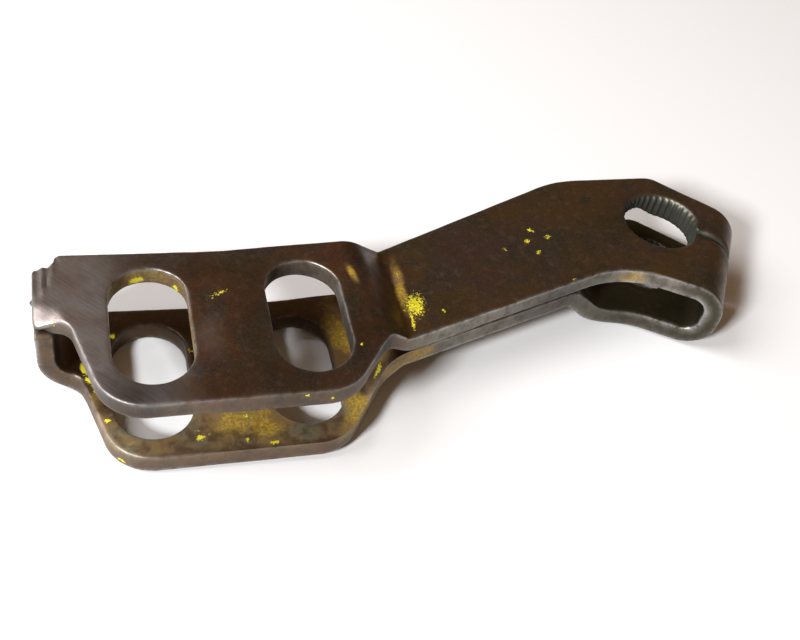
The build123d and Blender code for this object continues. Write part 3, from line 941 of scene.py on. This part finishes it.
rough = mixed_value(tree, stepped(tree, blotches, 0.3, 0.7), 0.36, 0.52)
metal = 0.88
rust_roughness, rust_metal = 0.72, 0.2
cut_roughness = 0.55
rim_roughness = 0.30
dust_metal = 0.3
paint_roughness, paint_metal = 0.55, 0.0
rough = mixed_value(tree, rust_amount, rough, rust_roughness)
rough = mixed_value(tree, mark(tree, "cut"), rough, cut_roughness)
rough = mixed_value(tree, rim_amount, rough, rim_roughness)
rough = mixed_value(tree, paint_amount, rough, paint_roughness)
tree.links.new(rough, shader.inputs["Roughness"])
metal = mixed_value(tree, rust_amount, metal, rust_metal)
metal = mixed_value(tree, dust_amount, metal, dust_metal)
metal = mixed_value(tree, paint_amount, metal, paint_metal)
tree.links.new(metal, shader.inputs["Metallic"])

# Height of the finish: grain, pitted rust, brush strokes, the streaks of the shear and the paint's thickness
height = plus(tree, times(tree, grain, 0.30), times(tree, rust_noise, 0.5))
stroke_height = plus(tree, times(tree, mark(tree, "rubbed_and_sheen"), 0.22), 0.05)
height = plus(tree, height, times(tree, brushed, stroke_height))
height = plus(tree, height, times(tree, cut_noise, times(tree, mark(tree, "cut"), 0.6)))
height = plus(tree, height, times(tree, paint_amount, 1.2))
bump = add_node(tree, "ShaderNodeBump", {"Height": height, "Strength": 0.5, "Distance": 0.00008})
tree.links.new(bump.outputs[0], shader.inputs["Normal"])


def new_object(name, data):
    """An object of the scene that shows a mesh, a lamp or a camera."""
    made = bpy.data.objects.new(name, data)
    bpy.context.collection.objects.link(made)
    return made


def end_face(indices):
    """The strip's section at a cut line: quads between the outer and inner rows, and a fan over each rim."""
    outer, inner = outside_of[indices], inside_of[indices]
    middle = [
        np.stack([outer[:-1], inner[:-1], inner[1:]], 1),
        np.stack([outer[:-1], inner[1:], outer[1:]], 1),
    ]
    rings = np.arange(1, ring_count - 1) * station_count
    fans = [
        np.stack([np.full(len(rings), station), station + rings, station + rings + station_count], 1)
        for station in (indices[0], indices[-1])
    ]
    return np.concatenate([*middle, fans[0], fans[1][:, ::-1]])


def faces_with_ends(own):
    """A stretch's triangles, closed by the sections at its cut lines, each turned to match the faces."""
    faces = [triangles[own]]
    directed = triangles[own]
    for number, row, indices in chains:
        a, b = outside_of[indices[0]], outside_of[indices[1]]
        forward = ((directed == a) & (np.roll(directed, -1, 1) == b)).any()
        backward = ((directed == b) & (np.roll(directed, -1, 1) == a)).any()
        if forward != backward:
            cap = end_face(indices)
            faces.append(cap if forward else cap[:, ::-1])
    return np.concatenate(faces)


for number, stretch in enumerate(stretches):
    own = stretch_of_triangle == number
    closed = faces_with_ends(own)
    used, faces = np.unique(closed, return_inverse=True)
    mesh = new_mesh(stretch, points[used], faces.reshape(-1, 3))
    normals = np.zeros(len(mesh.loops) * 3, np.float32)
    mesh.corner_normals.foreach_get("vector", normals)
    normals = normals.reshape(-1, 3)
    normals[:own.sum() * 3] = corner_normals[own].reshape(-1, 3)
    mesh.shade_smooth()
    mesh.normals_split_custom_set(normals)
    mesh.materials.append(steel)
    for name, values in marks.items():
        mesh.attributes.new(name, "FLOAT", "POINT").data.foreach_set("value", values[used].astype(np.float32))
    piece = new_object("pressed_" + stretch, mesh)
    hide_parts(stretch)
    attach(piece, "root")

# The closing bead. The real piece is a short run of weld metal that joins the two layers' ends. It was laid
# along the seam in small overlapping drops and left as it set, scaled and with a drop of spatter beside it.

# Lengths in this section are millimetres
bead_near_y = -19.5
bead_far_y = -10.2
bead_middle_x = -114.75
bead_middle_z = 16.25
bead_half_width = 1.05
bead_half_height = 0.8
drop_length = 0.95
spatter_height = 0.42
spatter_y = -13.9


def bead_surface(round_angle, share):
    """The bead: an ellipse round the seam, carried along it and drawn to a point at both ends. Its size
    rises and falls with the drops, each of them bowed, and it swells where the spatter sits."""
    along = bead_near_y + (bead_far_y - bead_near_y) * share
    taper = (1 - abs(2 * share - 1) ** 8) ** 0.5
    bow = 0.3 * np.cos(round_angle)
    drops = 1 + 0.07 * abs(np.sin(np.pi * (along + bow) / drop_length))
    drops = drops - 0.04 * np.sin(1.7 * along + round_angle)
    spatter = spatter_height * hump(along, spatter_y, 0.38) * hump(round_angle, np.pi, 0.5)
    x = bead_middle_x + (bead_half_width * drops * taper + spatter) * np.cos(round_angle)
    z = bead_middle_z + 0.12 * np.sin(0.9 * along) + bead_half_height * drops * taper * np.sin(round_angle)
    return np.stack(np.broadcast_arrays(x, along, z), -1).reshape(-1, 3)


bead_sides, bead_rows = 40, 150
row_share = 0.5 - 0.5 * np.cos(np.linspace(0, np.pi, bead_rows + 2)[1:-1])
side_angle = np.arange(bead_sides) * 2 * np.pi / bead_sides
bead_points = bead_surface(side_angle[None, :], row_share[:, None])
bead_tips = bead_surface(np.array([0.0]), np.array([0.0, 1.0])[:, None])
bead_points = np.concatenate([bead_points, bead_tips])
first = np.arange(bead_rows - 1)[:, None] * bead_sides + np.arange(bead_sides)[None, :]
beside = np.arange(bead_rows - 1)[:, None] * bead_sides + (np.arange(bead_sides)[None, :] + 1) % bead_sides
near_tip = np.full(bead_sides, bead_rows * bead_sides)
far_tip = near_tip + 1
bead_faces = np.concatenate([
    np.stack([first, beside, beside + bead_sides], 2).reshape(-1, 3),
    np.stack([first, beside + bead_sides, first + bead_sides], 2).reshape(-1, 3),
    np.stack([near_tip, beside[0], first[0]], 1),
    np.stack([far_tip, first[-1] + bead_sides, beside[-1] + bead_sides], 1),
])
bead_mesh = new_mesh("closing_bead", bead_points, bead_faces[:, ::-1])
bead_mesh.shade_smooth()

# Bare weld metal, with dark scale between its bright specks
weld, weld_tree, weld_shader = new_material("weld_metal")
weld_place = add_node(weld_tree, "ShaderNodeTexCoord").outputs["Object"]
weld_fine = add_node(weld_tree, "ShaderNodeGroup", {"Place": weld_place}, node_tree=fine_grain)
scaled = stepped(weld_tree, weld_fine.outputs["Specks"], 0.40, 0.62)
weld_colour = mixed(weld_tree, scaled, (0.070, 0.052, 0.040, 1), (0.26, 0.235, 0.215, 1))
weld_tree.links.new(weld_colour, weld_shader.inputs["Base Color"])
weld_tree.links.new(mixed_value(weld_tree, scaled, 0.6, 0.38), weld_shader.inputs["Roughness"])
weld_shader.inputs["Metallic"].default_value = 0.9
weld_bump = add_node(
    weld_tree, "ShaderNodeBump", {"Height": weld_fine.outputs["Grain"], "Strength": 0.5, "Distance": 0.00006}
)
weld_tree.links.new(weld_bump.outputs[0], weld_shader.inputs["Normal"])
bead_mesh.materials.append(weld)
bead = new_object("closing_bead", bead_mesh)
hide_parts("end_seam_weld")
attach(bead, "root")

# The floor. It stands for the sheet of white paper that the lever lies on. The lever rests on its lower
# plate and on its loop, which reach down to different levels, so the paper slopes a little.
plate_rest_x, plate_rest_z = -0.112, 0.00295
floor_slope = 0.00295 / 0.094
floor_reach = 1.2
floor_corners = [(-1, -1), (1, -1), (1, 1), (-1, 1)]
floor_mesh = bpy.data.meshes.new("paper_floor")
floor_mesh.from_pydata([
    (side * floor_reach, over * floor_reach, plate_rest_z - (side * floor_reach - plate_rest_x) * floor_slope)
    for side, over in floor_corners
], [], [(0, 1, 2, 3)])
floor = new_object("paper_floor", floor_mesh)
paper, _, paper_shader = new_material("white_paper")
paper_shader.inputs["Base Color"].default_value = (0.85, 0.85, 0.85, 1)
paper_shader.inputs["Roughness"].default_value = 0.9
floor_mesh.materials.append(paper)

# The light. A small lamp draws the shadows' crisp edges, and a broad soft one beside it draws their pale
# outer zone. The room gives a weak brown light, which fills the shadows, and a pale wall closes the view.
bpy.context.scene.view_settings.view_transform = "Standard"
world = bpy.data.worlds.new("studio")
bpy.context.scene.world = world
world.use_nodes = True
world_tree = world.node_tree
room_light = world_tree.nodes["Background"]
room_light.inputs["Color"].default_value = (1.0, 0.64, 0.37, 1)
room_light.inputs["Strength"].default_value = 0.18
pale_wall = add_node(world_tree, "ShaderNodeBackground", {"Color": (0.86, 0.84, 0.82, 1), "Strength": 1.0})
seen = add_node(world_tree, "ShaderNodeMixShader")
world_tree.links.new(add_node(world_tree, "ShaderNodeLightPath").outputs["Is Camera Ray"], seen.inputs["Fac"])
world_tree.links.new(room_light.outputs[0], seen.inputs[1])
world_tree.links.new(pale_wall.outputs[0], seen.inputs[2])
world_tree.links.new(seen.outputs[0], world_tree.nodes["World Output"].inputs["Surface"])


def soft_lamp(name, place, size, power, colour):
    """A square soft lamp at a place, turned to the lever's middle."""
    lamp = bpy.data.lights.new(name, "AREA")
    lamp.size = size
    lamp.energy = power
    lamp.color = colour
    lamp_object = new_object(name, lamp)
    lamp_object.location = place
    lamp_object.rotation_euler = (lever_middle - Vector(place)).to_track_quat("-Z", "Y").to_euler()


lever_middle = Vector((-0.05, -0.02, 0.0))
soft_lamp("lamp", (-0.718, -0.516, 0.552), 0.15, 13.5, (0.95, 0.975, 1.0))
soft_lamp("window", (-0.74, 0.09, 0.76), 0.60, 8.6, (0.98, 0.98, 1.0))

# The camera. It stands close over the lever's near side, looks steeply down at it, and is held a little
# askew. Its angles, distance and lens were fitted to the edges of the plates and slots.
turn, rise, roll = np.radians([-23.054, 46.573, 13.308])
target = Vector((-0.059598, -0.025615, 0.01985))
distance = 0.17403
back = Vector((np.sin(turn) * np.cos(rise), -np.cos(turn) * np.cos(rise), np.sin(rise)))
side = (-back).cross(Vector((0, 0, 1))).normalized()
over = side.cross(-back)
right = side * np.cos(roll) + over * np.sin(roll)
up = -side * np.sin(roll) + over * np.cos(roll)
stand = target + back * distance
camera = bpy.data.cameras.new("camera")
camera.sensor_width = 36
camera.lens = 48.82
camera.clip_start = 0.005
camera_object = new_object("camera", camera)
camera_object.matrix_world = Matrix((
    (right.x, up.x, back.x, stand.x),
    (right.y, up.y, back.y, stand.y),
    (right.z, up.z, back.z, stand.z),
    (0, 0, 0, 1),
))
bpy.context.scene.camera = camera_object
